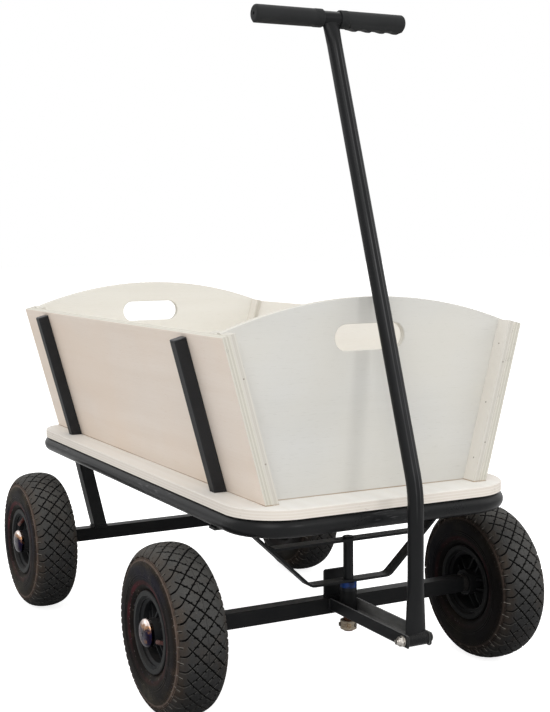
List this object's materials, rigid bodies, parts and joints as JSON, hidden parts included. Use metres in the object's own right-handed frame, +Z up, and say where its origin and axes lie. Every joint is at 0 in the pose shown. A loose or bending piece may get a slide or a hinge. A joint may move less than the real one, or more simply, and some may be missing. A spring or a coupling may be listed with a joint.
{
  "type": "wooden pull wagon",
  "caption": "Pull wagon with a slanted plywood load box on a tube frame, air-filled tyres on spoked wheels, a steered front axle and a tall T-handle.",
  "frame": {"origin": "on the floor under the middle of the wagon's overall length and width", "axes": "+Z up, the handle and the steered axle face -Y, +X is the wagon's left"},
  "size_m": [0.674, 1.0461, 1.0608],
  "materials": {
    "black_steel": "satin black powder coat",
    "zinc_steel": "zinc plated, dull",
    "chrome": "bright pressed cap",
    "deck_plywood": "whitewashed birch plywood",
    "side_plywood": "whitewashed birch plywood, warm",
    "end_plywood": "whitewashed birch plywood",
    "batten_plywood": "birch plywood strip with visible plies",
    "black_plastic": "matt",
    "blue_plastic": "semi-gloss",
    "rim_plastic": "matt moulded",
    "tyre_rubber": "dusty black rubber",
    "grip_rubber": "matt"
  },
  "bodies": {
    "chassis": {"frame_ring": "black_steel", "cross_members": "black_steel", "deck_board": "deck_plywood", "side_board_left": "side_plywood", "side_board_right": "side_plywood", "front_board": "end_plywood", "rear_board": "end_plywood", "battens_left": "batten_plywood", "battens_right": "batten_plywood", "stakes_left": "black_steel", "stakes_right": "black_steel", "stake_caps": "black_plastic", "rear_axle_beam": "black_steel", "rear_stub_axles": "zinc_steel", "rear_legs": "black_steel", "steering_brace": "black_steel", "brace_crossbar": "black_steel", "kingpin": "black_steel", "kingpin_collar": "zinc_steel"},
    "steering": {"front_axle_beam": "black_steel", "front_stub_axles": "zinc_steel", "head_tube": "black_steel", "steering_bushing": "blue_plastic", "stop_plate": "black_steel", "drawbar_channel": "black_steel", "pivot_bolt": "zinc_steel"},
    "handle": {"pivot_sleeve": "black_steel", "handle_shaft": "black_steel", "handle_crossbar": "black_steel", "grip_left": "grip_rubber", "grip_right": "grip_rubber"},
    "wheel_front_left": {"tyre_front_left": "tyre_rubber", "rim_front_left": "rim_plastic", "hub_cap_front_left": "chrome"},
    "wheel_front_right": {"tyre_front_right": "tyre_rubber", "rim_front_right": "rim_plastic", "hub_cap_front_right": "chrome"},
    "wheel_rear_left": {"tyre_rear_left": "tyre_rubber", "rim_rear_left": "rim_plastic", "hub_cap_rear_left": "chrome"},
    "wheel_rear_right": {"tyre_rear_right": "tyre_rubber", "rim_rear_right": "rim_plastic", "hub_cap_rear_right": "chrome"}
  },
  "joints": [
    {"name": "steering_pivot", "type": "hinge", "parent": "chassis", "child": "steering", "pos_m": [0, -0.32795, 0.145], "axis": [0, 0, 1], "range_deg": [-25, 25]},
    {"name": "handle_pivot", "type": "hinge", "parent": "steering", "child": "handle", "pos_m": [0, -0.51195, 0.133], "axis": [1, 0, 0], "range_deg": [0, 110]},
    {"name": "wheel_spin_front_left", "type": "hinge", "parent": "steering", "child": "wheel_front_left", "pos_m": [0.287, -0.29295, 0.13], "axis": [1, 0, 0], "continuous": true},
    {"name": "wheel_spin_front_right", "type": "hinge", "parent": "steering", "child": "wheel_front_right", "pos_m": [-0.287, -0.29295, 0.13], "axis": [1, 0, 0], "continuous": true},
    {"name": "wheel_spin_rear_left", "type": "hinge", "parent": "chassis", "child": "wheel_rear_left", "pos_m": [0.287, 0.35505, 0.13], "axis": [1, 0, 0], "continuous": true},
    {"name": "wheel_spin_rear_right", "type": "hinge", "parent": "chassis", "child": "wheel_rear_right", "pos_m": [-0.287, 0.35505, 0.13], "axis": [1, 0, 0], "continuous": true}
  ]
}
